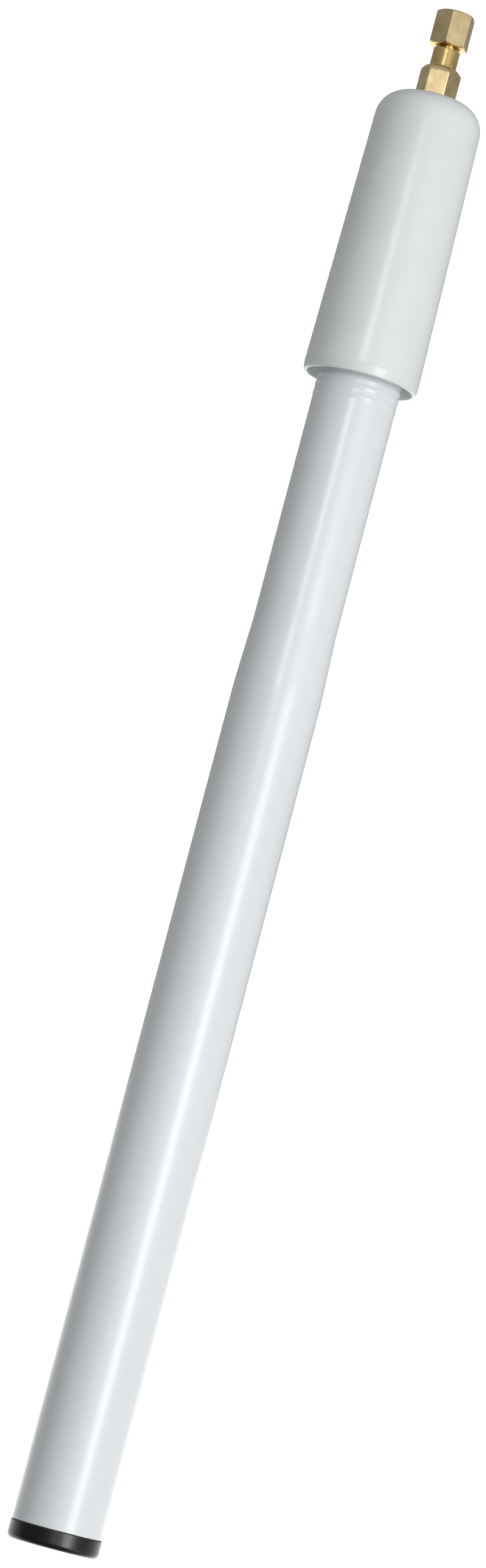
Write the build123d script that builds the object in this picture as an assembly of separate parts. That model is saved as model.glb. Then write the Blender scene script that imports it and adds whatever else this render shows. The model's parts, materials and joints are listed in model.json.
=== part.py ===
from build123d import *
import math
import os

# Collinear omnidirectional antenna on a straight screw-on coaxial plug.
# Millimetres. The origin is the centre of the coupling nut's mouth, and +Z runs up the antenna,
# from the plug at the bottom to the black end cap at the top. Every piece is turned about Z.

# ---- Driving dimensions -------------------------------------------------------------------------

# Screw-on plug, 1/4-36 thread
NUT_ACROSS_FLATS = 8.0
NUT_LENGTH = 8.0
NUT_TURN = 41.0  # degrees from +X to a corner of the hexagon
THREAD_RADIUS = 3.175
THREAD_LEAD_IN = 0.425
THREAD_END = 3.3
RELIEF_RADIUS = 3.35
RELIEF_END = 5.2
NUT_AXIAL_PLAY = 0.4
BASE_HEX_ACROSS_FLATS = 8.0
BASE_HEX_LENGTH = 7.0
BASE_HEX_TURN = 7.0
NECK_RADIUS = 3.0
NECK_LENGTH = 4.5
SHANK_RADIUS = 2.5
CONTACT_TUBE_RADIUS = 2.3
DIELECTRIC_RADIUS = 2.05
REFERENCE_PLANE = 3.4  # depth of the mating plane behind the nut's mouth
SOCKET_BORE_RADIUS = 0.475
CONTACT_RADIUS = 0.65

# Base collar
COLLAR_LENGTH = 66.4
COLLAR_SHOULDER_RADIUS = 11.9
COLLAR_LIP_RADIUS = 13.05
COLLAR_SHOULDER_ROUND = 6.3
COLLAR_FLOOR = 3.0
COLLAR_POCKET_RADIUS = 7.5
LIP_RECESS_RADIUS = 12.0
LIP_RECESS_DEPTH = 3.0
RIM_BAND = 2.2
RIM_TAPER = 0.3  # how much smaller the radius is at the lip than where the rim band starts

# Radome tube and end cap
RADOME_SLIM_RADIUS = 9.35
RADOME_TAPER_RADIUS = 9.9
RADOME_TIP_RADIUS = 10.0
RADOME_BORE_RADIUS = 8.0
RADOME_SEATING = 42.0  # length of tube that sits inside the collar
RADOME_EXPOSED = 259.6
TAPER_START = 56.5  # above the collar's lip
TAPER_LENGTH = 15.0
RIB_OFFSETS = (0.6, 2.3, 4.5)  # above the collar's lip
RIB_PROUD = 0.12
RIB_HALF_WIDTH = 0.75
RIB_ROUND = 1.5
CAP_RADIUS = 10.15
CAP_HEIGHT = 4.1
CAP_PLUG_LENGTH = 7.5

# Coaxial cable and radiating elements
CORE_RADIUS = 0.26
COAX_DIELECTRIC_RADIUS = 0.76
BRAID_RADIUS = 1.0
JACKET_RADIUS = 1.25
TAIL_RADIUS = 1.1
SLEEVE_RADIUS = 5.0
SLEEVE_WALL = 0.4
SLEEVE_LENGTH = 74.0
WHIP_RADIUS = 1.25
LOWER_WHIP_LENGTH = 70.5
UPPER_WHIP_LENGTH = 68.0
COIL_FORMER_RADIUS = 2.4
COIL_WIRE_RADIUS = 0.5
COIL_TURNS = 7
COIL_PITCH = 2.4

GAP = 0.05  # small assembly clearance

# ---- Heights worked out from them ---------------------------------------------------------------

neck_low = NUT_LENGTH + NUT_AXIAL_PLAY + GAP
hex_low = neck_low + NECK_LENGTH
collar_low = hex_low + BASE_HEX_LENGTH
collar_floor = collar_low + COLLAR_FLOOR
collar_lip = collar_low + COLLAR_LENGTH
radome_low = collar_lip - RADOME_SEATING
radome_high = collar_lip + RADOME_EXPOSED
cap_high = radome_high + CAP_HEIGHT
cap_plug_low = radome_high - CAP_PLUG_LENGTH

ring_low = 6.0
RING_THICKNESS = 0.5
RING_INNER = 2.25
RING_OUTER = 2.9

washer_low = collar_floor
WASHER_THICKNESS = 0.6
lock_nut_low = washer_low + WASHER_THICKNESS
LOCK_NUT_THICKNESS = 2.2
shank_high = lock_nut_low + LOCK_NUT_THICKNESS + 2.5
TAIL_LENGTH = 5.5
tail_high = shank_high + TAIL_LENGTH
ferrule_low = shank_high + 0.6
ferrule_high = tail_high + 2.6
jacket_low = ferrule_high + 0.4

sleeve_low = collar_lip + 15.0
sleeve_high = sleeve_low + SLEEVE_LENGTH
END_DISC_THICKNESS = 1.5
coax_end = sleeve_high + 2.5
CORE_IN_WHIP = 3.4
WHIP_SEAT_DEPTH = 3.0
lower_whip_high = coax_end + LOWER_WHIP_LENGTH
TERMINAL_SEAT = 2.0
TERMINAL_THICKNESS = 3.0
former_low = lower_whip_high - TERMINAL_SEAT + TERMINAL_THICKNESS
former_high = former_low + COIL_TURNS * COIL_PITCH + 2 * COIL_WIRE_RADIUS + 2 * GAP
upper_whip_low = former_high + TERMINAL_THICKNESS - TERMINAL_SEAT
upper_whip_high = upper_whip_low + UPPER_WHIP_LENGTH
TIP_BUSH_LENGTH = 8.0


# ---- Helpers ------------------------------------------------------------------------------------


def turned(*corners):
    """A solid turned about Z. Each corner of its outline is (radius, height) or (radius, height, rounding)."""
    points = [(corner[0], 0, corner[1]) for corner in corners]
    roundings = [corner[2] if len(corner) > 2 else 0 for corner in corners]
    if any(roundings):
        outline = FilletPolyline(*points, radius=roundings, close=True)
    else:
        outline = Polyline(*points, close=True)
    return revolve(make_face(outline), Axis.Z)


def tube(outer, inner, low, high):
    """A plain round tube or ring between two heights."""
    return turned((inner, low), (outer, low), (outer, high), (inner, high))


def rod(radius, low, high):
    """A plain round bar between two heights."""
    return turned((0, low), (radius, low), (radius, high), (0, high))


def hexagon_bar(across_flats, turn, low, high):
    """A hexagonal bar. One of its corners lies turn degrees from +X."""
    outline = RegularPolygon(across_flats / 2, 6, major_radius=False, rotation=turn)
    return extrude(Plane.XY.offset(low) * outline, high - low)


def box_at(length, width, low, high, distance, angle):
    """A block lying radially, its middle at a distance from the axis in a direction about Z."""
    block = Pos(distance, 0, (low + high) / 2) * Box(length, width, high - low)
    return Rot(0, 0, angle) * block


# ---- Screw-on plug ------------------------------------------------------------------------------


def coupling_nut():
    """Hexagonal nut that turns freely on the plug: thread, relief, and a groove for its snap ring."""
    corner = NUT_ACROSS_FLATS / math.sqrt(3)
    bar = hexagon_bar(NUT_ACROSS_FLATS, NUT_TURN, 0, NUT_LENGTH)
    chamfered = turned(
        (0, 0),
        (3.85, 0),
        (corner + GAP, 0.5),
        (corner + GAP, NUT_LENGTH - 0.5),
        (3.8, NUT_LENGTH),
        (0, NUT_LENGTH),
    )
    rear_bore = SHANK_RADIUS + 0.12
    groove_radius = RING_OUTER + 0.1
    groove_low = ring_low - GAP
    groove_high = ring_low + RING_THICKNESS + GAP
    hole = turned(
        (0, 0),
        (THREAD_RADIUS + THREAD_LEAD_IN, 0),
        (THREAD_RADIUS, THREAD_LEAD_IN),
        (THREAD_RADIUS, THREAD_END),
        (RELIEF_RADIUS, THREAD_END),
        (RELIEF_RADIUS, RELIEF_END),
        (rear_bore, RELIEF_END),
        (rear_bore, groove_low),
        (groove_radius, groove_low),
        (groove_radius, groove_high),
        (rear_bore, groove_high),
        (rear_bore, NUT_LENGTH),
        (0, NUT_LENGTH),
    )
    return (bar & chamfered) - hole


def nut_retaining_ring():
    """Split snap ring that holds the nut on the shank and lets it slide a little."""
    ring = tube(RING_OUTER, RING_INNER, ring_low, ring_low + RING_THICKNESS)
    return ring - box_at(2.0, 1.4, ring_low - 1, ring_low + 1.5, RING_OUTER, 90)


def connector_gasket():
    """Silicone washer that seals against the mating jack's rim."""
    return tube(3.05, CONTACT_TUBE_RADIUS, 4.45, 5.1)


def connector_body():
    """One turned piece: outer contact tube, grooved shank, neck, hexagon, threaded shank, crimp tail."""
    corner = BASE_HEX_ACROSS_FLATS / math.sqrt(3)
    ring_groove_low = ring_low - GAP
    ring_groove_high = ring_low + RING_THICKNESS + NUT_AXIAL_PLAY + 2 * GAP
    front = turned(
        (0, REFERENCE_PLANE),
        (CONTACT_TUBE_RADIUS, REFERENCE_PLANE),
        (CONTACT_TUBE_RADIUS, 5.1),
        (SHANK_RADIUS, 5.1),
        (SHANK_RADIUS, ring_groove_low),
        (RING_INNER - GAP, ring_groove_low),
        (RING_INNER - GAP, ring_groove_high),
        (SHANK_RADIUS, ring_groove_high),
        (SHANK_RADIUS, neck_low),
        (NECK_RADIUS, neck_low, 0.2),
        (NECK_RADIUS, hex_low),
        (0, hex_low),
    )
    bar = hexagon_bar(BASE_HEX_ACROSS_FLATS, BASE_HEX_TURN, hex_low, collar_low)
    chamfered = turned(
        (0, hex_low),
        (3.7, hex_low),
        (corner + GAP, hex_low + 0.9),
        (corner + GAP, collar_low),
        (0, collar_low),
    )
    rear = turned(
        (0, collar_low),
        (THREAD_RADIUS, collar_low),
        (THREAD_RADIUS, shank_high - 0.4),
        (THREAD_RADIUS - 0.4, shank_high),
        (TAIL_RADIUS, shank_high),
        (TAIL_RADIUS, tail_high),
        (0, tail_high),
    )
    cavity_high = collar_low - 2.0
    through_hole = turned(
        (0, REFERENCE_PLANE),
        (DIELECTRIC_RADIUS, REFERENCE_PLANE),
        (DIELECTRIC_RADIUS, cavity_high),
        (COAX_DIELECTRIC_RADIUS + 0.04, cavity_high),
        (COAX_DIELECTRIC_RADIUS + 0.04, tail_high),
        (0, tail_high),
    )
    return front + (bar & chamfered) + rear - through_hole


contact_low = REFERENCE_PLANE + 0.2
contact_high = collar_low - 4.0
SOCKET_DEPTH = 2.6
SOLDER_CUP_DEPTH = 2.0
FLANGE_LOW = 9.0
FLANGE_HIGH = 10.0
FLANGE_RADIUS = 0.95


def connector_dielectric():
    """PTFE bead that holds the centre contact in the plug's body."""
    return turned(
        (CONTACT_RADIUS, REFERENCE_PLANE + 0.1),
        (DIELECTRIC_RADIUS, REFERENCE_PLANE + 0.1),
        (DIELECTRIC_RADIUS, contact_high - 0.8),
        (CONTACT_RADIUS, contact_high - 0.8),
        (CONTACT_RADIUS, FLANGE_HIGH),
        (FLANGE_RADIUS, FLANGE_HIGH),
        (FLANGE_RADIUS, FLANGE_LOW),
        (CONTACT_RADIUS, FLANGE_LOW),
    )


def centre_contact():
    """Gold-plated socket with two spring slots in front and a solder cup behind."""
    pin = turned(
        (0, contact_low),
        (CONTACT_RADIUS, contact_low),
        (CONTACT_RADIUS, FLANGE_LOW),
        (FLANGE_RADIUS, FLANGE_LOW),
        (FLANGE_RADIUS, FLANGE_HIGH),
        (CONTACT_RADIUS, FLANGE_HIGH),
        (CONTACT_RADIUS, contact_high),
        (0, contact_high),
    )
    socket = rod(SOCKET_BORE_RADIUS, contact_low, contact_low + SOCKET_DEPTH)
    cup = rod(CORE_RADIUS, contact_high - SOLDER_CUP_DEPTH, contact_high)
    slot = box_at(2 * FLANGE_RADIUS, 0.12, contact_low - 0.1, contact_low + 2.2, 0, 0)
    return pin - socket - cup - slot


# ---- Base collar and what clamps it to the plug -------------------------------------------------


def base_o_ring():
    """Seal between the plug's hexagon and the collar, in the collar's counterbore."""
    return Pos(0, 0, collar_low + 0.32) * Torus(THREAD_RADIUS + 0.39, 0.29)


def base_collar():
    """Moulded white collar: domed bottom, slightly flared wall, and a recessed rim round the radome."""
    rim_low = collar_lip - RIM_BAND
    seat_radius = RADOME_SLIM_RADIUS + GAP
    o_ring_low = collar_lip - 13.0
    return turned(
        (THREAD_RADIUS + 0.08, collar_low + 0.62),
        (THREAD_RADIUS + 0.7, collar_low + 0.62),
        (THREAD_RADIUS + 0.7, collar_low),
        (COLLAR_SHOULDER_RADIUS - 0.02, collar_low, COLLAR_SHOULDER_ROUND),
        (COLLAR_LIP_RADIUS, rim_low),
        (COLLAR_LIP_RADIUS - RIM_TAPER, collar_lip, 0.45),
        (LIP_RECESS_RADIUS, collar_lip, 0.2),
        (LIP_RECESS_RADIUS, collar_lip - LIP_RECESS_DEPTH),
        (seat_radius, collar_lip - LIP_RECESS_DEPTH),
        (seat_radius, o_ring_low + 1.8),
        (seat_radius + 0.95, o_ring_low + 1.8),
        (seat_radius + 0.95, o_ring_low),
        (seat_radius, o_ring_low),
        (seat_radius, radome_low - 0.1),
        (COLLAR_POCKET_RADIUS, radome_low - 0.1),
        (COLLAR_POCKET_RADIUS, collar_floor),
        (THREAD_RADIUS + 0.08, collar_floor),
    )


def radome_o_ring():
    """Seal between the collar and the radome, near the collar's rim."""
    return Pos(0, 0, collar_lip - 12.1) * Torus(RADOME_SLIM_RADIUS + 0.5, 0.48)


def lock_washer():
    """Internal-tooth washer under the lock nut."""
    washer = tube(5.2, THREAD_RADIUS + 0.1, washer_low, lock_nut_low)
    for tooth in range(10):
        washer -= box_at(1.6, 0.7, washer_low - 1, lock_nut_low + 1, THREAD_RADIUS + 0.3, 36 * tooth)
    return washer


def lock_nut():
    """Thin hexagonal nut that clamps the collar's floor against the plug's hexagon."""
    high = lock_nut_low + LOCK_NUT_THICKNESS
    corner = NUT_ACROSS_FLATS / math.sqrt(3)
    bar = hexagon_bar(NUT_ACROSS_FLATS, 0, lock_nut_low, high)
    chamfered = turned(
        (0, lock_nut_low),
        (corner + GAP, lock_nut_low),
        (corner + GAP, high - 0.4),
        (3.9, high),
        (0, high),
    )
    return (bar & chamfered) - rod(THREAD_RADIUS + 0.02, lock_nut_low, high)


# ---- Coaxial cable ------------------------------------------------------------------------------


def crimp_ferrule():
    """Ring that crimps the cable's braid onto the plug's tail."""
    return tube(1.8, 1.35, ferrule_low, ferrule_high)


def heat_shrink_sleeve():
    """Shrunk tubing from the ferrule onto the cable's jacket."""
    return turned(
        (1.8, ferrule_low + 1.0),
        (2.1, ferrule_low + 1.0),
        (2.1, ferrule_high + 0.2),
        (1.6, ferrule_high + 1.7),
        (1.6, ferrule_high + 10.0),
        (JACKET_RADIUS, ferrule_high + 10.0),
        (JACKET_RADIUS, ferrule_high + 1.5),
        (1.8, ferrule_high),
    )


def coax_jacket():
    """Outer jacket of the cable, from the plug up into the sleeve."""
    return tube(JACKET_RADIUS, BRAID_RADIUS, jacket_low, sleeve_high - END_DISC_THICKNESS - 1.5)


def coax_braid():
    """Braided screen, flared over the plug's tail and soldered to the sleeve's end disc."""
    flare = 1.35
    return turned(
        (TAIL_RADIUS, ferrule_low),
        (flare, ferrule_low),
        (flare, tail_high + 0.1),
        (BRAID_RADIUS, tail_high + 1.4),
        (BRAID_RADIUS, sleeve_high),
        (COAX_DIELECTRIC_RADIUS, sleeve_high),
        (COAX_DIELECTRIC_RADIUS, tail_high + 1.2),
        (TAIL_RADIUS, tail_high),
    )


def coax_dielectric():
    """PTFE insulation of the cable, round its core."""
    return tube(COAX_DIELECTRIC_RADIUS, CORE_RADIUS, contact_high + 1.2, coax_end)


def coax_core():
    """Centre wire, soldered into the contact below and into the lower whip above."""
    return rod(CORE_RADIUS, contact_high - SOLDER_CUP_DEPTH, coax_end + CORE_IN_WHIP)


# ---- Radiating elements -------------------------------------------------------------------------


def sleeve_radiator():
    """Brass tube round the cable: the lower arm of the dipole."""
    return tube(SLEEVE_RADIUS, SLEEVE_RADIUS - SLEEVE_WALL, sleeve_low, sleeve_high)


def sleeve_end_disc():
    """Brass disc that joins the top of the sleeve to the cable's braid."""
    return tube(SLEEVE_RADIUS - SLEEVE_WALL, BRAID_RADIUS, sleeve_high - END_DISC_THICKNESS, sleeve_high)


def sleeve_spacer_bush():
    """Plastic bush that centres the cable in the open bottom of the sleeve."""
    return turned(
        (JACKET_RADIUS, sleeve_low - 1.0),
        (SLEEVE_RADIUS, sleeve_low - 1.0),
        (SLEEVE_RADIUS, sleeve_low),
        (SLEEVE_RADIUS - SLEEVE_WALL, sleeve_low),
        (SLEEVE_RADIUS - SLEEVE_WALL, sleeve_low + 3.0),
        (JACKET_RADIUS, sleeve_low + 3.0),
    )


def feed_insulator():
    """PTFE spool that keeps the gap between the sleeve and the lower whip."""
    return turned(
        (COAX_DIELECTRIC_RADIUS, sleeve_high),
        (SLEEVE_RADIUS, sleeve_high),
        (SLEEVE_RADIUS, sleeve_high + 1.2),
        (3.0, sleeve_high + 1.2),
        (3.0, coax_end + WHIP_SEAT_DEPTH),
        (WHIP_RADIUS, coax_end + WHIP_SEAT_DEPTH),
        (WHIP_RADIUS, coax_end),
        (COAX_DIELECTRIC_RADIUS, coax_end),
    )


def lower_whip():
    """Brass rod above the feed gap: the upper arm of the dipole."""
    whip = rod(WHIP_RADIUS, coax_end, lower_whip_high)
    return whip - rod(CORE_RADIUS, coax_end, coax_end + CORE_IN_WHIP + 0.2)


def coil_terminal(whip_end, former_end):
    """Brass cup between a whip and the coil's former. The whip sits in its blind hole."""
    seat_end = whip_end + math.copysign(TERMINAL_SEAT, former_end - whip_end)
    cup = rod(3.6, min(whip_end, former_end), max(whip_end, former_end))
    return cup - rod(WHIP_RADIUS, min(whip_end, seat_end), max(whip_end, seat_end))


def coil_former():
    """Plastic rod that the phasing coil is wound on."""
    return rod(COIL_FORMER_RADIUS, former_low, former_high)


def phasing_coil():
    """Copper wire wound on the former. Its ends are soldered to the two terminals."""
    start = former_low + COIL_WIRE_RADIUS + GAP
    radius = COIL_FORMER_RADIUS + COIL_WIRE_RADIUS + 0.02
    path = Helix(COIL_PITCH, COIL_TURNS * COIL_PITCH, radius, center=(0, 0, start))
    section = Plane(origin=path @ 0, z_dir=path % 0) * Circle(COIL_WIRE_RADIUS)
    return sweep(section, path=path, is_frenet=True)


def upper_whip():
    """Brass rod above the phasing coil."""
    return rod(WHIP_RADIUS, upper_whip_low, upper_whip_high)


def foam_spacer(element_radius, low):
    """Foam disc that keeps a radiating element in the middle of the radome."""
    return tube(RADOME_BORE_RADIUS - GAP, element_radius + GAP, low, low + 10.0)


def tip_bush():
    """Plastic bush that holds the upper whip's end under the cap."""
    low = upper_whip_high - TIP_BUSH_LENGTH
    bush = rod(RADOME_BORE_RADIUS - GAP, low, upper_whip_high + 1.0)
    return bush - rod(WHIP_RADIUS, low, upper_whip_high)


# ---- Radome and end cap -------------------------------------------------------------------------


def radome_tube():
    """White tube with moulding draft, slimmer towards the collar, and three fine ribs by the collar's rim."""
    taper_low = collar_lip + TAPER_START
    ribs = []
    for offset in RIB_OFFSETS:
        middle = collar_lip + offset
        ribs.append((RADOME_SLIM_RADIUS, middle - RIB_HALF_WIDTH, RIB_ROUND))
        ribs.append((RADOME_SLIM_RADIUS + RIB_PROUD, middle, RIB_ROUND))
        ribs.append((RADOME_SLIM_RADIUS, middle + RIB_HALF_WIDTH, RIB_ROUND))
    return turned(
        (RADOME_BORE_RADIUS, radome_low),
        (RADOME_SLIM_RADIUS, radome_low),
        *ribs,
        (RADOME_SLIM_RADIUS, taper_low),
        (RADOME_TAPER_RADIUS, taper_low + TAPER_LENGTH),
        (RADOME_TIP_RADIUS, radome_high, 0.15),
        (RADOME_BORE_RADIUS, radome_high),
    )


cap_groove_low = cap_plug_low + 2.4
CAP_GROOVE_HEIGHT = 1.6
CAP_GROOVE_RADIUS = 7.05


def end_cap():
    """Black moulded cap: a rounded head over the tube's end and a hollow plug inside it."""
    plug = RADOME_BORE_RADIUS - GAP
    return turned(
        (0, cap_high),
        (0, radome_high + 2.5),
        (5.6, radome_high + 2.5),
        (5.6, cap_plug_low),
        (plug - 0.5, cap_plug_low),
        (plug, cap_plug_low + 0.5),
        (plug, cap_groove_low),
        (CAP_GROOVE_RADIUS, cap_groove_low),
        (CAP_GROOVE_RADIUS, cap_groove_low + CAP_GROOVE_HEIGHT),
        (plug, cap_groove_low + CAP_GROOVE_HEIGHT),
        (plug, radome_high),
        (CAP_RADIUS, radome_high, 0.25),
        (CAP_RADIUS, cap_high, 1.2),
    )


def end_cap_o_ring():
    """Seal between the cap's plug and the radome's bore."""
    section = (RADOME_BORE_RADIUS - CAP_GROOVE_RADIUS) / 2
    middle = cap_groove_low + CAP_GROOVE_HEIGHT / 2
    return Pos(0, 0, middle) * Torus(CAP_GROOVE_RADIUS + section, section - 0.02)


# ---- Assembly -----------------------------------------------------------------------------------

pieces = {
    "coupling_nut": coupling_nut(),
    "nut_retaining_ring": nut_retaining_ring(),
    "connector_gasket": connector_gasket(),
    "connector_body": connector_body(),
    "connector_dielectric": connector_dielectric(),
    "centre_contact": centre_contact(),
    "base_o_ring": base_o_ring(),
    "base_collar": base_collar(),
    "radome_o_ring": radome_o_ring(),
    "lock_washer": lock_washer(),
    "lock_nut": lock_nut(),
    "crimp_ferrule": crimp_ferrule(),
    "heat_shrink_sleeve": heat_shrink_sleeve(),
    "coax_jacket": coax_jacket(),
    "coax_braid": coax_braid(),
    "coax_dielectric": coax_dielectric(),
    "coax_core": coax_core(),
    "sleeve_radiator": sleeve_radiator(),
    "sleeve_end_disc": sleeve_end_disc(),
    "sleeve_spacer_bush": sleeve_spacer_bush(),
    "feed_insulator": feed_insulator(),
    "lower_whip": lower_whip(),
    "coil_terminal_lower": coil_terminal(lower_whip_high - TERMINAL_SEAT, former_low),
    "coil_former": coil_former(),
    "phasing_coil": phasing_coil(),
    "coil_terminal_upper": coil_terminal(upper_whip_low + TERMINAL_SEAT, former_high),
    "upper_whip": upper_whip(),
    "tip_bush": tip_bush(),
    "radome_tube": radome_tube(),
    "end_cap": end_cap(),
    "end_cap_o_ring": end_cap_o_ring(),
}

foam_places = (
    (SLEEVE_RADIUS, sleeve_low + 8.0),
    (SLEEVE_RADIUS, sleeve_high - 18.0),
    (WHIP_RADIUS, lower_whip_high - 40.0),
    (WHIP_RADIUS, upper_whip_low + 20.0),
)
for number, (element_radius, low) in enumerate(foam_places, start=1):
    pieces[f"foam_spacer_{number}"] = foam_spacer(element_radius, low)

os.makedirs("parts", exist_ok=True)
for name, piece in pieces.items():
    export_step(piece, f"parts/{name}.step")
    print(name, round(piece.volume, 2), [solid.is_valid for solid in piece.solids()])
print("overall height", cap_high)
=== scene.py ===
import json
import math

import bmesh
import bpy
import numpy as np
from mathutils import Matrix, Vector


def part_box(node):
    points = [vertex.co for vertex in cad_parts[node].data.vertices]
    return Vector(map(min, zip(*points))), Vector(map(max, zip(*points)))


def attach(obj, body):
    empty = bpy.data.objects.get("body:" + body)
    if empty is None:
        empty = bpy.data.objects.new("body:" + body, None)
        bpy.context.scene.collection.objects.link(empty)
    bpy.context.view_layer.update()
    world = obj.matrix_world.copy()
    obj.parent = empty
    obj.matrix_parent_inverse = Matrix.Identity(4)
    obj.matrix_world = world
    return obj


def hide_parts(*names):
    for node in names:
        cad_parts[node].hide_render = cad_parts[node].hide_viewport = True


# Collinear antenna with a screw-on plug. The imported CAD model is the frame. The five pieces that show and
# the four foam discs are rebuilt here as finer skins, and every piece gets a procedural material.
# Outlines are in millimetres and become metres in skin(). Lights, camera and materials are in metres.

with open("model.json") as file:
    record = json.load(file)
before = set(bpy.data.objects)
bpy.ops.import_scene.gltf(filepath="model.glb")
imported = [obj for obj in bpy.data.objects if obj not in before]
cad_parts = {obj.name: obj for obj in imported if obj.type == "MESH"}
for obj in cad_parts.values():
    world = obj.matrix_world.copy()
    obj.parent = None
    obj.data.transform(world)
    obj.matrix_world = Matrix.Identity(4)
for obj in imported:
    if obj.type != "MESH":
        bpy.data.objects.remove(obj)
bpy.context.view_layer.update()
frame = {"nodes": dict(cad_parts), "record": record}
PER_METRE = 1000.0


def heights(node):
    """Lowest and highest point of a CAD node, in millimetres."""
    low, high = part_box(node)
    return low.z * PER_METRE, high.z * PER_METRE


def outer_radius(node):
    """Largest radius of a round CAD node, in millimetres."""
    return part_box(node)[1].x * PER_METRE


# ---- Sizes the skins share with the CAD model ---------------------------------------------------

nut_low, nut_high = heights("coupling_nut")
plug_low, plug_high = heights("connector_body")
collar_low, collar_lip = heights("base_collar")
radome_low, radome_high = heights("radome_tube")
cap_low, cap_high = heights("end_cap")
ring_low, ring_high = heights("nut_retaining_ring")
lock_nut_high = heights("lock_nut")[1]

HEX_ACROSS_FLATS = 8.0
HEX_CORNER_RADIUS = HEX_ACROSS_FLATS / math.sqrt(3)
HEX_CORNER_ROUND = 0.14
NUT_TURN = 41.0
BASE_HEX_TURN = 7.0
BASE_HEX_LENGTH = 7.0
NECK_LENGTH = 4.5
THREAD_RADIUS = 3.175
THREAD_ROOT_RADIUS = 2.83
THREAD_PITCH = 25.4 / 36
THREAD_END = 3.3
GAP = 0.05

# ---- Skins --------------------------------------------------------------------------------------

ROUND_STEPS = 192
ARC_STEP = math.radians(9.0)
HOLD = 0.35  # how far from a corner the row lies that keeps the shading flat beyond it
ROW_STEP = 12.0
EDGE_SOFTENING = 0.05
SHARP_ANGLE = math.radians(36.0)
MERGE_DISTANCE = 1e-7

all_round = np.linspace(0.0, 2 * math.pi, ROUND_STEPS, endpoint=False)


def arc_points(before, corner, after, rounding):
    """Points of the arc that rounds one corner of an outline."""
    to_before = (before - corner).normalized()
    to_after = (after - corner).normalized()
    half = to_before.angle(to_after) / 2
    centre = corner + (to_before + to_after).normalized() * (rounding / math.sin(half))
    start = corner + to_before * (rounding / math.tan(half)) - centre
    end = corner + to_after * (rounding / math.tan(half)) - centre
    turn = math.atan2(start.x * end.y - start.y * end.x, start.dot(end))
    steps = max(3, math.ceil(abs(turn) / ARC_STEP))
    return [centre + Matrix.Rotation(turn * step / steps, 2) @ start for step in range(steps + 1)]


def outline(*corners, closed=True):
    """Rows of a turned skin. Each corner is (radius, height) or (radius, height, rounding).

    Long straight runs get extra rows near their ends, which keep the shading flat along them.
    """
    corners = [corner if len(corner) > 2 else (*corner, 0.0) for corner in corners]
    points = []
    for index, (radius, height, rounding) in enumerate(corners):
        corner = Vector((radius, height))
        if rounding:
            before = Vector(corners[index - 1][:2])
            after = Vector(corners[(index + 1) % len(corners)][:2])
            points += arc_points(before, corner, after, rounding)
        else:
            points.append(corner)
    rows = []
    for start, end in zip(points, points[1:] + points[:1]):
        rows.append(start)
        if end is points[0] and not closed:
            break
        length = (end - start).length
        if length > 4 * HOLD:
            inner = length - 2 * HOLD
            parts = math.ceil(inner / ROW_STEP)
            rows += [start.lerp(end, (HOLD + inner * part / parts) / length) for part in range(parts + 1)]
    return [tuple(row) for row in rows]


def skin(name, rows, directions, materials, closed=True, second_material_rows=()):
    """A surface through rows of points round the axis.

    A row is one (radius, height), or one for every direction.
    """
    count = len(directions)
    grid = np.array([np.broadcast_to(row, (count, 2)) for row in rows]) / PER_METRE
    x = grid[:, :, 0] * np.cos(directions)
    y = grid[:, :, 0] * np.sin(directions)
    points = np.stack([x, y, grid[:, :, 1]], axis=2).reshape(-1, 3)
    faces = []
    face_materials = []
    row_count = len(rows)
    for row in range(row_count if closed else row_count - 1):
        here = row * count
        above = (row + 1) % row_count * count
        for column in range(count):
            beside = (column + 1) % count
            faces.append((here + column, here + beside, above + beside, above + column))
            face_materials.append(int(row in second_material_rows))
    mesh = bpy.data.meshes.new(name)
    mesh.from_pydata(points.tolist(), [], faces)
    mesh.polygons.foreach_set("material_index", face_materials)
    for material in materials:
        mesh.materials.append(material)
    made = bmesh.new()
    made.from_mesh(mesh)
    bmesh.ops.remove_doubles(made, verts=made.verts, dist=MERGE_DISTANCE)
    bmesh.ops.recalc_face_normals(made, faces=made.faces)
    made.to_mesh(mesh)
    made.free()
    mesh.shade_smooth()
    mesh.set_sharp_from_angle(angle=SHARP_ANGLE)
    piece = bpy.data.objects.new(name, mesh)
    bpy.context.scene.collection.objects.link(piece)
    return piece


def hexagon(turn):
    """Directions and radii round a hexagonal bar with rounded corners, one of them at turn degrees."""
    per_flat = 16
    per_corner = 4
    apothem = HEX_ACROSS_FLATS / 2
    centre_distance = (apothem - HEX_CORNER_ROUND) / math.cos(math.radians(30))
    flat_run = HEX_CORNER_RADIUS - 2 * HEX_CORNER_ROUND * math.tan(math.radians(30))
    points = []
    for corner in range(6):
        outward = math.radians(turn + 60 * corner)
        centre = complex(math.cos(outward), math.sin(outward)) * centre_distance
        for step in range(per_corner + 1):
            angle = outward + math.radians(-30 + 60 * step / per_corner)
            points.append(centre + HEX_CORNER_ROUND * complex(math.cos(angle), math.sin(angle)))
        next_flat = math.radians(turn + 60 * corner + 30)
        along = complex(-math.sin(next_flat), math.cos(next_flat))
        start = points[-1]
        points += [start + along * flat_run * step / per_flat for step in range(1, per_flat)]
    directions = np.unwrap(np.angle(points))
    return directions, np.abs(points)


def level(radii, height):
    """A row at one height with a radius for every direction."""
    return np.stack([radii, np.full(len(radii), height)], axis=1)


def levels(radii, low, high, count):
    """Evenly spaced rows with the same radii between two heights."""
    return [level(radii, height) for height in np.linspace(low, high, count)]


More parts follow.
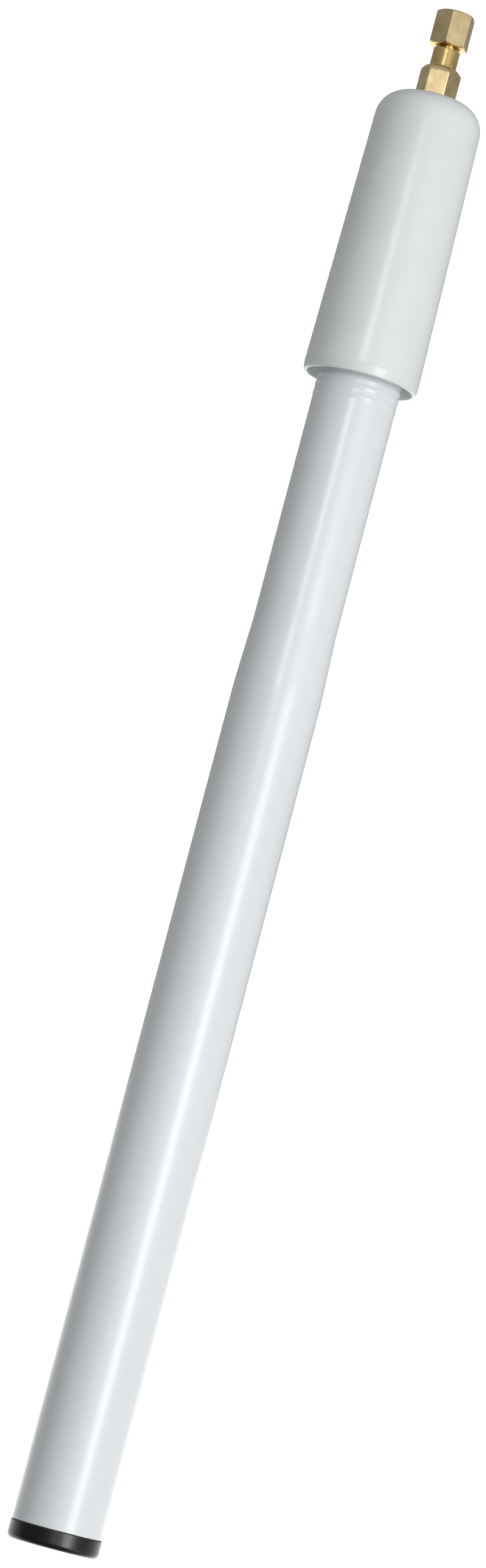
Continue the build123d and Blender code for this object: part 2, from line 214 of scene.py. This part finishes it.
def chamfer_rows(radii, start, end):
    """Rows from a circle up a cone to where it meets the hexagon, with the meeting edge softened."""
    soften = EDGE_SOFTENING if end[1] > start[1] else -EDGE_SOFTENING
    slope = (end[1] - start[1]) / (end[0] - start[0])
    edge = start[1] + slope * (radii - start[0])
    on_cone = np.stack([radii - soften / slope, edge - soften], axis=1)
    on_flat = np.stack([radii, edge + soften], axis=1)
    return [start, on_cone, on_flat]


def thread_rows(first, last, rows_per_turn, root, crest, directions):
    """Rows of a right-hand thread between two heights, starting at the first."""
    steepness = 1.25
    root_flat = 0.1
    count = math.ceil(abs(last - first) / THREAD_PITCH * rows_per_turn)
    rows = []
    for height in np.linspace(first, last, count + 1):
        phase = (height / THREAD_PITCH - directions / (2 * math.pi)) % 1.0
        rise = np.clip(steepness * (1 - np.abs(2 * phase - 1)) - root_flat, 0.0, 1.0)
        rows.append(level(root + (crest - root) * rise, height))
    return rows


# ---- Material building blocks -------------------------------------------------------------------


def new_material(name, sockets):
    """A Principled material with its constant sockets set."""
    material = bpy.data.materials.new(name)
    material.use_nodes = True
    shader = material.node_tree.nodes["Principled BSDF"]
    for socket, value in sockets.items():
        shader.inputs[socket].default_value = value
    return material, material.node_tree, shader


def object_coordinates(tree, stretch=(1.0, 1.0, 1.0)):
    """Coordinates in metres on the object, stretched along its axes."""
    source = tree.nodes.new("ShaderNodeTexCoord")
    mapping = tree.nodes.new("ShaderNodeMapping")
    mapping.inputs["Scale"].default_value = stretch
    tree.links.new(source.outputs["Object"], mapping.inputs["Vector"])
    return mapping.outputs["Vector"]


def noise(tree, vector, size, detail=3.0):
    """Smooth noise whose features are about size metres across."""
    node = tree.nodes.new("ShaderNodeTexNoise")
    node.inputs["Scale"].default_value = 1 / size
    node.inputs["Detail"].default_value = detail
    tree.links.new(vector, node.inputs["Vector"])
    return node.outputs["Fac"]


def calculate(tree, operation, *values):
    """The result of a Math node. Each value is a number or another node's output."""
    node = tree.nodes.new("ShaderNodeMath")
    node.operation = operation
    for socket, value in zip(node.inputs, values):
        if isinstance(value, float):
            socket.default_value = value
        else:
            tree.links.new(value, socket)
    return node.outputs["Value"]


def between(tree, factor, low, high, start=0.3, end=0.7):
    """A value that goes from low to high as factor goes from start to end."""
    node = tree.nodes.new("ShaderNodeMapRange")
    for socket, value in (("From Min", start), ("From Max", end), ("To Min", low), ("To Max", high)):
        node.inputs[socket].default_value = value
    tree.links.new(factor, node.inputs["Value"])
    return node.outputs["Result"]


def tones(tree, factor, dark, light, start=0.3, end=0.7):
    """A colour that goes from dark to light as factor goes from start to end."""
    node = tree.nodes.new("ShaderNodeValToRGB")
    for stop, place, colour in zip(node.color_ramp.elements, (start, end), (dark, light)):
        stop.position = place
        stop.color = (*colour, 1.0)
    tree.links.new(factor, node.inputs["Fac"])
    return node.outputs["Color"]


def relief(tree, shader, height, depth):
    """Small relief of the given depth in metres on the shader's normal."""
    node = tree.nodes.new("ShaderNodeBump")
    node.inputs["Distance"].default_value = depth
    tree.links.new(height, node.inputs["Height"])
    tree.links.new(node.outputs["Normal"], shader.inputs["Normal"])


def mottled(name, dark, light, roughness, tone_size, grain_size, grain_depth,
            tone_stretch=(1.0, 1.0, 1.0), grain_stretch=(1.0, 1.0, 1.0), sockets=None):
    """A material whose tone and roughness drift slowly and whose surface has a fine grain."""
    material, tree, shader = new_material(name, sockets or {})
    tone = noise(tree, object_coordinates(tree, tone_stretch), tone_size)
    grain = noise(tree, object_coordinates(tree, grain_stretch), grain_size)
    tree.links.new(tones(tree, tone, dark, light), shader.inputs["Base Color"])
    tree.links.new(between(tree, grain, *roughness), shader.inputs["Roughness"])
    relief(tree, shader, grain, grain_depth)
    return material


# ---- Materials ----------------------------------------------------------------------------------

METAL = {"Metallic": 1.0}
ROUND_THE_AXIS = (0.03, 0.03, 1.0)
ALONG_THE_AXIS = (1.0, 1.0, 0.02)

radome_white = mottled(
    "radome_white", (0.755, 0.785, 0.800), (0.785, 0.812, 0.826), (0.19, 0.25),
    tone_size=0.018, grain_size=0.0016, grain_depth=0.0000025,
    tone_stretch=(1.0, 1.0, 0.25), grain_stretch=(1.0, 1.0, 0.5), sockets={"IOR": 1.5})
collar_white = mottled(
    "collar_white", (0.735, 0.765, 0.765), (0.768, 0.795, 0.795), (0.20, 0.27),
    tone_size=0.012, grain_size=0.0009, grain_depth=0.000002, sockets={"IOR": 1.49})
cap_black = mottled(
    "cap_black", (0.007, 0.006, 0.007), (0.012, 0.011, 0.012), (0.24, 0.32),
    tone_size=0.004, grain_size=0.0005, grain_depth=0.000002, sockets={"IOR": 1.53})
gold_turned = mottled(
    "gold_turned", (0.57, 0.40, 0.15), (0.77, 0.57, 0.26), (0.16, 0.26),
    tone_size=0.0025, grain_size=0.00010, grain_depth=0.000003,
    grain_stretch=ROUND_THE_AXIS, sockets=METAL)
gold_flats = mottled(
    "gold_flats", (0.58, 0.45, 0.23), (0.74, 0.60, 0.35), (0.18, 0.28),
    tone_size=0.0030, grain_size=0.00012, grain_depth=0.000003,
    grain_stretch=ALONG_THE_AXIS, sockets=METAL)
spring_bronze = mottled(
    "spring_bronze", (0.36, 0.20, 0.11), (0.55, 0.33, 0.19), (0.25, 0.40),
    tone_size=0.0012, grain_size=0.00015, grain_depth=0.000002, sockets=METAL)
silicone_seal = mottled(
    "silicone_seal", (0.42, 0.10, 0.05), (0.50, 0.14, 0.07), (0.45, 0.60),
    tone_size=0.0015, grain_size=0.00012, grain_depth=0.000003)
nitrile_seal = mottled(
    "nitrile_seal", (0.012, 0.012, 0.013), (0.022, 0.022, 0.024), (0.40, 0.58),
    tone_size=0.0030, grain_size=0.00015, grain_depth=0.000003)
ptfe = mottled(
    "ptfe", (0.76, 0.76, 0.74), (0.84, 0.84, 0.82), (0.32, 0.45),
    tone_size=0.0020, grain_size=0.00010, grain_depth=0.000003,
    grain_stretch=ROUND_THE_AXIS, sockets={"Subsurface Weight": 0.1, "Subsurface Scale": 0.0005})
nickel_plate = mottled(
    "nickel_plate", (0.52, 0.50, 0.46), (0.66, 0.64, 0.60), (0.18, 0.30),
    tone_size=0.0020, grain_size=0.00012, grain_depth=0.000003, sockets=METAL)
heat_shrink = mottled(
    "heat_shrink", (0.013, 0.013, 0.014), (0.026, 0.026, 0.028), (0.38, 0.55),
    tone_size=0.0040, grain_size=0.00050, grain_depth=0.000020)
jacket_brown = mottled(
    "jacket_brown", (0.16, 0.065, 0.025), (0.22, 0.095, 0.038), (0.20, 0.30),
    tone_size=0.0060, grain_size=0.00060, grain_depth=0.000006, sockets={"Coat Weight": 0.3})
copper = mottled(
    "copper", (0.56, 0.20, 0.09), (0.80, 0.36, 0.20), (0.16, 0.28),
    tone_size=0.0030, grain_size=0.00020, grain_depth=0.000002, sockets=METAL)
brass_plain = mottled(
    "brass_plain", (0.55, 0.38, 0.13), (0.78, 0.58, 0.25), (0.22, 0.36),
    tone_size=0.0060, grain_size=0.00015, grain_depth=0.000003,
    grain_stretch=ALONG_THE_AXIS, sockets=METAL)
natural_nylon = mottled(
    "natural_nylon", (0.70, 0.66, 0.54), (0.79, 0.76, 0.65), (0.35, 0.48),
    tone_size=0.0040, grain_size=0.00030, grain_depth=0.000005,
    sockets={"Subsurface Weight": 0.15, "Subsurface Scale": 0.001})


def braided_material():
    """Tinned wires crossing round the cable in two directions."""
    wires_round = 16.0
    turns_per_metre = 2 * math.pi * 100.0
    wire_shadow = (0.30, 0.30, 0.31)
    wire_top = (0.78, 0.77, 0.76)
    material, tree, shader = new_material("tinned_braid", METAL)
    split = tree.nodes.new("ShaderNodeSeparateXYZ")
    tree.links.new(object_coordinates(tree), split.inputs["Vector"])
    around = calculate(tree, "ARCTAN2", split.outputs["Y"], split.outputs["X"])
    around = calculate(tree, "MULTIPLY", around, wires_round)
    along = calculate(tree, "MULTIPLY", split.outputs["Z"], wires_round * turns_per_metre)
    left_wires = calculate(tree, "SINE", calculate(tree, "ADD", around, along))
    right_wires = calculate(tree, "SINE", calculate(tree, "SUBTRACT", around, along))
    weave = calculate(tree, "MULTIPLY", left_wires, right_wires)
    colour = tones(tree, between(tree, weave, 0.0, 1.0, start=-1.0, end=1.0), wire_shadow, wire_top)
    tree.links.new(colour, shader.inputs["Base Color"])
    tree.links.new(between(tree, weave, 0.45, 0.22, start=-1.0, end=1.0), shader.inputs["Roughness"])
    relief(tree, shader, weave, 0.00006)
    return material


def foam_material():
    """Pale closed-cell foam: small rounded cells with brighter walls, their hollows darkened as painted
    shade.
    """
    cell_size = 0.0009
    cell_hollow_painted_shade = (0.52, 0.52, 0.50)
    cell_wall = (0.80, 0.80, 0.78)
    material, tree, shader = new_material("foam", {"Roughness": 0.85})
    coordinates = object_coordinates(tree)
    cells = tree.nodes.new("ShaderNodeTexVoronoi")
    cells.inputs["Scale"].default_value = 1 / cell_size
    tree.links.new(coordinates, cells.inputs["Vector"])
    drift = between(tree, noise(tree, coordinates, 0.004), 0.8, 1.2)
    rise = calculate(tree, "MULTIPLY", cells.outputs["Distance"], drift)
    # Darker towards each cell's hollow, where the relief is lowest: painted shade in the recesses.
    colour = tones(tree, rise, cell_hollow_painted_shade, cell_wall, start=0.1, end=0.6)
    tree.links.new(colour, shader.inputs["Base Color"])
    relief(tree, shader, rise, 0.0002)
    return material


foam = foam_material()
slot_materials = {
    "gold_plate": gold_turned,
    "spring_bronze": spring_bronze,
    "silicone_seal": silicone_seal,
    "nitrile_seal": nitrile_seal,
    "ptfe": ptfe,
    "collar_white": collar_white,
    "radome_white": radome_white,
    "cap_black": cap_black,
    "nickel_plate": nickel_plate,
    "heat_shrink": heat_shrink,
    "jacket_brown": jacket_brown,
    "tinned_braid": braided_material(),
    "copper": copper,
    "brass_plain": brass_plain,
    "natural_nylon": natural_nylon,
    "foam": foam,
}
for subpart in frame["record"]["subparts"]:
    for place in frame["nodes"][subpart["node"]].material_slots:
        place.material = slot_materials[subpart["material_slot"]]


def stand_in(piece, node, body):
    """Shows a piece instead of a CAD node, on that node's body."""
    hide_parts(node)
    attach(piece, body)


# ---- Plug ---------------------------------------------------------------------------------------

CHAMFER_END_RADIUS = HEX_CORNER_RADIUS + GAP


def coupling_nut_skin():
    """Hexagonal coupling nut: chamfered at both ends, threaded mouth, relief and snap-ring groove."""
    directions, radii = hexagon(NUT_TURN)
    front_face = 3.85
    rear_face = 3.8
    chamfer = 0.5
    past_chamfer = 0.8
    lead_in_radius = THREAD_RADIUS + 0.425
    relief_radius = THREAD_RADIUS + 0.175
    relief_high = nut_low + 5.2
    rear_bore = 2.62
    bore_chamfer = 0.15
    groove_radius = 3.0
    bottom = chamfer_rows(radii, (front_face, nut_low), (CHAMFER_END_RADIUS, nut_low + chamfer))
    top = chamfer_rows(radii, (rear_face, nut_high), (CHAMFER_END_RADIUS, nut_high - chamfer))
    middle = levels(radii, nut_low + past_chamfer, nut_high - past_chamfer, 7)
    inside = outline(
        (rear_bore + bore_chamfer, nut_high),
        (rear_bore, nut_high - bore_chamfer),
        (rear_bore, ring_high + GAP),
        (groove_radius, ring_high + GAP),
        (groove_radius, ring_low - GAP),
        (rear_bore, ring_low - GAP),
        (rear_bore, relief_high),
        (relief_radius, relief_high),
        (relief_radius, nut_low + THREAD_END),
        closed=False,
    )
    thread = thread_rows(nut_low + THREAD_END, nut_low, 14, THREAD_RADIUS, THREAD_ROOT_RADIUS, directions)
    for row in thread:
        row[:, 0] = np.maximum(row[:, 0], lead_in_radius - (row[:, 1] - nut_low))
    outside = bottom + middle + top[::-1]
    flats = range(len(bottom) - 1, len(outside) - len(top))
    piece = skin("hex_coupling_nut", outside + inside + thread, directions,
                 [gold_turned, gold_flats], second_material_rows=flats)
    stand_in(piece, "coupling_nut", "hex_nut")


def plug_skin():
    """The plug's turned body: contact tube, grooved shank, neck, hexagon, threaded shank and crimp tail."""
    directions, radii = hexagon(BASE_HEX_TURN)
    bore = 2.05
    bore_high = collar_low - 2.0
    contact_tube = 2.3
    contact_tube_high = 5.1
    shank = 2.5
    ring_groove = 2.2
    ring_groove_high = 7.0
    neck = 3.0
    hex_face = 3.7
    chamfer = 0.9
    soft_edge = 0.06
    hex_low = collar_low - BASE_HEX_LENGTH
    neck_low = hex_low - NECK_LENGTH
    flat_low = hex_low + 1.4
    flat_high = collar_low - 0.3
    thread_low = collar_low + 0.4
    thread_chamfer = 0.4
    shank_high = lock_nut_high + 2.5
    tail = 1.1
    tail_bore = 0.8
    front = outline(
        (bore, plug_low),
        (contact_tube, plug_low, soft_edge),
        (contact_tube, contact_tube_high),
        (shank, contact_tube_high, soft_edge),
        (shank, ring_low - GAP),
        (ring_groove, ring_low - GAP),
        (ring_groove, ring_groove_high),
        (shank, ring_groove_high),
        (shank, neck_low),
        (neck, neck_low, 0.2),
        (neck, hex_low, 0.25),
        (hex_face, hex_low),
        closed=False,
    )
    lower = chamfer_rows(radii, (hex_face, hex_low), (CHAMFER_END_RADIUS, hex_low + chamfer))[1:]
    middle = levels(radii, flat_low, flat_high, 5)
    upper = [level(radii, collar_low - soft_edge), level(radii - soft_edge, collar_low)]
    thread = thread_rows(thread_low, shank_high, 8, THREAD_ROOT_RADIUS, THREAD_RADIUS, directions)
    for row in thread:
        row[:, 0] = np.minimum(row[:, 0], THREAD_RADIUS - thread_chamfer + shank_high - row[:, 1])
    rear = outline(
        (tail, shank_high),
        (tail, plug_high, 0.08),
        (tail_bore, plug_high),
        (tail_bore, bore_high),
        (bore, bore_high),
        closed=False,
    )
    before_flats = len(front) + len(lower) - 1
    flats = range(before_flats, before_flats + len(middle) + 1)
    rows = front + lower + middle + upper + [(THREAD_ROOT_RADIUS, collar_low)] + thread + rear
    piece = skin("turned_plug_body", rows, directions,
                 [gold_turned, gold_flats], second_material_rows=flats)
    stand_in(piece, "connector_body", "antenna")


# ---- Collar, radome and cap ---------------------------------------------------------------------


def collar_skin():
    """Moulded collar: domed bottom, slightly flared wall, a faint rim band and a recess round the radome."""
    foot_bore = THREAD_RADIUS + 0.08
    counterbore = THREAD_RADIUS + 0.7
    counterbore_high = collar_low + 0.62
    shoulder = 11.88
    shoulder_round = 6.3
    rim = outer_radius("base_collar")
    rim_low = collar_lip - 2.2
    rim_taper = 0.3
    band_step = 0.05
    band_step_height = 0.12
    recess = 12.0
    recess_low = collar_lip - 3.0
    seat = 9.4
    seal_groove = seat + 0.95
    seal_groove_low = collar_lip - 13.0
    seal_groove_high = seal_groove_low + 1.8
    seat_low = radome_low - 0.1
    pocket = 7.5
    pocket_low = collar_low + 3.0
    rows = outline(
        (foot_bore, counterbore_high),
        (counterbore, counterbore_high),
        (counterbore, collar_low, 0.1),
        (shoulder, collar_low, shoulder_round),
        (rim - band_step, rim_low - band_step_height, 0.05),
        (rim, rim_low, 0.05),
        (rim - rim_taper, collar_lip, 0.45),
        (recess, collar_lip, 0.2),
        (recess, recess_low, 0.3),
        (seat, recess_low),
        (seat, seal_groove_high),
        (seal_groove, seal_groove_high),
        (seal_groove, seal_groove_low),
        (seat, seal_groove_low),
        (seat, seat_low),
        (pocket, seat_low),
        (pocket, pocket_low),
        (foot_bore, pocket_low),
    )
    piece = skin("moulded_collar", rows, all_round, [collar_white])
    stand_in(piece, "base_collar", "antenna")


def rib(foot_radius, height):
    """Rows of one fine moulded rib round the tube."""
    proud = 0.12
    half_width = 0.75
    rows = []
    for place in np.linspace(-1.0, 1.0, 15):
        rise = proud * (0.5 + 0.5 * math.cos(math.pi * place))
        rows.append((foot_radius + rise, height + half_width * place))
    return rows


def radome_skin():
    """White radome tube: slim by the collar with three fine ribs, then a short taper and a slight draft."""
    bore = 8.0
    bore_row_count = 26
    slim = 9.35
    wide = 9.9
    tip = outer_radius("radome_tube")
    rib_offsets = (0.6, 2.3, 4.5)
    ribs_low = collar_lip - 0.4
    ribs_high = collar_lip + 5.6
    taper_low = collar_lip + 56.5
    taper_high = taper_low + 15.0
    taper_round = 60.0
    lower = outline((bore, radome_low), (slim, radome_low, 0.2), (slim, ribs_low), closed=False)
    ribs = [row for offset in rib_offsets for row in rib(slim, collar_lip + offset)]
    upper = outline(
        (slim, ribs_high),
        (slim, taper_low, taper_round),
        (wide, taper_high, taper_round),
        (tip, radome_high, 0.15),
        (bore, radome_high),
        closed=False,
    )
    bore_rows = [(bore, height) for height in np.linspace(radome_high, radome_low, bore_row_count)[1:-1]]
    piece = skin("radome_shell", lower + ribs + upper + bore_rows, all_round, [radome_white])
    stand_in(piece, "radome_tube", "antenna")


def cap_skin():
    """Black cap: rounded head over the tube's end, hollow plug with a seal groove inside the bore."""
    head = outer_radius("end_cap")
    plug = 7.95
    plug_chamfer = 0.5
    groove = 7.05
    groove_low = cap_low + 2.4
    groove_high = groove_low + 1.6
    cavity = 5.6
    cavity_high = radome_high + 2.5
    rows = outline(
        (0.0, cap_high),
        (head, cap_high, 1.2),
        (head, radome_high, 0.25),
        (plug, radome_high),
        (plug, groove_high),
        (groove, groove_high),
        (groove, groove_low),
        (plug, groove_low),
        (plug, cap_low + plug_chamfer),
        (plug - plug_chamfer, cap_low),
        (cavity, cap_low),
        (cavity, cavity_high, 0.4),
        (0.0, cavity_high),
        closed=False,
    )
    piece = skin("moulded_end_cap", rows, all_round, [cap_black], closed=False)
    stand_in(piece, "end_cap", "antenna")


def foam_ring(number):
    """One foam disc between a radiating element and the radome's bore, with softly rounded edges."""
    node = f"foam_spacer_{number}"
    low, high = heights(node)
    vertex_places = np.array([vertex.co[:2] for vertex in frame["nodes"][node].data.vertices])
    inner = np.linalg.norm(vertex_places, axis=1).min() * PER_METRE
    outer = outer_radius(node)
    softness = 0.5
    rows = outline(
        (inner, low, softness),
        (outer, low, softness),
        (outer, high, softness),
        (inner, high, softness),
    )
    piece = skin(f"foam_disc_{number}", rows, all_round, [foam])
    stand_in(piece, node, "antenna")


coupling_nut_skin()
plug_skin()
collar_skin()
radome_skin()
cap_skin()
for foam_number in (1, 2, 3, 4):
    foam_ring(foam_number)

# ---- Floor, light and camera --------------------------------------------------------------------

WHITE = (1.0, 1.0, 1.0, 1.0)
FLOOR_DROP = 0.15
FLOOR_RADIUS = 8.0
FLOOR_PAPER = (0.9, 0.9, 0.9, 1.0)
FLOOR_GLOW = 0.70
FLOOR_AS_LIGHT = (0.62, 0.62, 0.62, 1.0)
ROOM_DARK = (0.08, 0.084, 0.088)
ROOM_PANEL = (0.44, 0.44, 0.44)
BACKDROP = (1.6, 1.6, 1.6, 1.0)
SEEN_STRENGTH = 1.1
WATTS_PER_RADIANCE = 4.0
CAMERA_DISTANCE = 1.2
CAMERA_ELEVATION = math.radians(6.55)
CAMERA_ROLL = math.radians(194.81)
CAMERA_AIM = Vector((0.00222, 0.0, 0.17914))
CAMERA_LENS = 125.7
CAMERA_SENSOR = 36.0


def mixed_shader(tree, factor, first, second):
    """A mix of two shaders."""
    node = tree.nodes.new("ShaderNodeMixShader")
    tree.links.new(factor, node.inputs["Fac"])
    tree.links.new(first, node.inputs[1])
    tree.links.new(second, node.inputs[2])
    return node.outputs["Shader"]


def make_floor():
    """Plain pale floor well below the plug, overexposed to white, which throws back only some of the light.

    It is clear from below, so that the plug's mouth can be looked at.
    """
    mesh = bpy.data.meshes.new("floor")
    corners = [(math.cos(angle) * FLOOR_RADIUS, math.sin(angle) * FLOOR_RADIUS, 0.0) for angle in all_round]
    mesh.from_pydata(corners, [], [tuple(range(len(corners)))])
    floor = bpy.data.objects.new("floor", mesh)
    floor.location.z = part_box("coupling_nut")[0].z - FLOOR_DROP
    bpy.context.scene.collection.objects.link(floor)
    material, tree, shader = new_material("floor_paper", {
        "Base Color": FLOOR_PAPER,
        "Roughness": 0.9,
        "Emission Color": WHITE,
        "Emission Strength": FLOOR_GLOW,
    })
    dim = tree.nodes.new("ShaderNodeBsdfDiffuse")
    dim.inputs["Color"].default_value = FLOOR_AS_LIGHT
    clear = tree.nodes.new("ShaderNodeBsdfTransparent")
    ray = tree.nodes.new("ShaderNodeLightPath")
    side = tree.nodes.new("ShaderNodeNewGeometry")
    paper = mixed_shader(tree, ray.outputs["Is Camera Ray"], dim.outputs["BSDF"], shader.outputs["BSDF"])
    one_sided = mixed_shader(tree, side.outputs["Backfacing"], paper, clear.outputs["BSDF"])
    tree.links.new(one_sided, tree.nodes["Material Output"].inputs["Surface"])
    mesh.materials.append(material)


def towards(bearing):
    """Unit direction level with the floor, at a bearing in degrees to the right in the render."""
    angle = math.radians(bearing)
    return Vector((-math.sin(angle), -math.cos(angle), 0.0))


def area_light(name, bearing, distance, low, high, width, radiance):
    """Upright soft light facing the antenna, between two heights in metres."""
    light = bpy.data.lights.new(name, "AREA")
    light.shape = "RECTANGLE"
    light.size = width
    light.size_y = high - low
    light.energy = WATTS_PER_RADIANCE * width * (high - low) * radiance
    lamp = bpy.data.objects.new(name, light)
    lamp.location = towards(bearing) * distance + Vector((0.0, 0.0, (low + high) / 2))
    lamp.rotation_mode = "QUATERNION"
    lamp.rotation_quaternion = towards(bearing).to_track_quat("Z", "Y")
    lamp.visible_camera = False
    bpy.context.scene.collection.objects.link(lamp)


def room_colour(tree):
    """The room's colour by direction: dark, but paler low down on the lights' side and white behind."""
    source = tree.nodes.new("ShaderNodeTexCoord")
    split = tree.nodes.new("ShaderNodeSeparateXYZ")
    tree.links.new(source.outputs["Generated"], split.inputs["Vector"])
    panel_side = between(tree, split.outputs["X"], 1.0, 0.0, start=0.16, end=0.40)
    panel_top = between(tree, split.outputs["Z"], 1.0, 0.0, start=0.20, end=0.45)
    panel = calculate(tree, "MULTIPLY", panel_side, panel_top)
    room = tones(tree, panel, ROOM_DARK, ROOM_PANEL, start=0.0, end=1.0)
    behind = between(tree, split.outputs["Y"], 0.0, 1.0, start=0.0, end=0.9)
    mixed = tree.nodes.new("ShaderNodeMix")
    mixed.data_type = "RGBA"
    mixed.inputs["B"].default_value = BACKDROP
    tree.links.new(behind, mixed.inputs["Factor"])
    tree.links.new(room, mixed.inputs["A"])
    return mixed.outputs["Result"]


def background(tree, strength):
    """A background shader, white unless something is linked to its colour."""
    node = tree.nodes.new("ShaderNodeBackground")
    node.inputs["Color"].default_value = WHITE
    node.inputs["Strength"].default_value = strength
    return node


def make_world():
    """White to the camera. As light it is the room."""
    world = bpy.data.worlds.new("studio")
    bpy.context.scene.world = world
    world.use_nodes = True
    tree = world.node_tree
    tree.nodes.clear()
    room = background(tree, 1.0)
    seen = background(tree, SEEN_STRENGTH)
    tree.links.new(room_colour(tree), room.inputs["Color"])
    ray = tree.nodes.new("ShaderNodeLightPath")
    output = tree.nodes.new("ShaderNodeOutputWorld")
    mixed = mixed_shader(tree, ray.outputs["Is Camera Ray"],
                         room.outputs["Background"], seen.outputs["Background"])
    tree.links.new(mixed, output.inputs["Surface"])


def make_camera():
    """Camera a little above the antenna's middle, rolled so that the plug is up and to the right."""
    sine = math.sin(CAMERA_ELEVATION)
    cosine = math.cos(CAMERA_ELEVATION)
    level_right = Vector((1.0, 0.0, 0.0))
    level_up = Vector((0.0, sine, cosine))
    back = Vector((0.0, -cosine, sine))
    right = level_right * math.cos(CAMERA_ROLL) + level_up * math.sin(CAMERA_ROLL)
    up = level_up * math.cos(CAMERA_ROLL) - level_right * math.sin(CAMERA_ROLL)
    camera_data = bpy.data.cameras.new("camera")
    camera_data.lens = CAMERA_LENS
    camera_data.sensor_width = CAMERA_SENSOR
    camera = bpy.data.objects.new("camera", camera_data)
    place = Matrix((right, up, back)).transposed().to_4x4()
    place.translation = CAMERA_AIM + back * CAMERA_DISTANCE
    camera.matrix_world = place
    bpy.context.scene.collection.objects.link(camera)
    bpy.context.scene.camera = camera


make_floor()
make_world()
area_light("soft_panel", bearing=26.0, distance=0.9, low=-0.14, high=0.42, width=1.15, radiance=0.80)
area_light("strip_light", bearing=33.0, distance=1.0, low=0.0, high=0.62, width=0.37, radiance=4.1)
area_light("front_light", bearing=-6.0, distance=0.6, low=-0.12, high=0.06, width=0.125, radiance=4.3)
area_light("side_light", bearing=62.0, distance=1.4, low=0.75, high=1.75, width=1.0, radiance=0.8)
make_camera()
bpy.context.scene.view_settings.view_transform = "Standard"
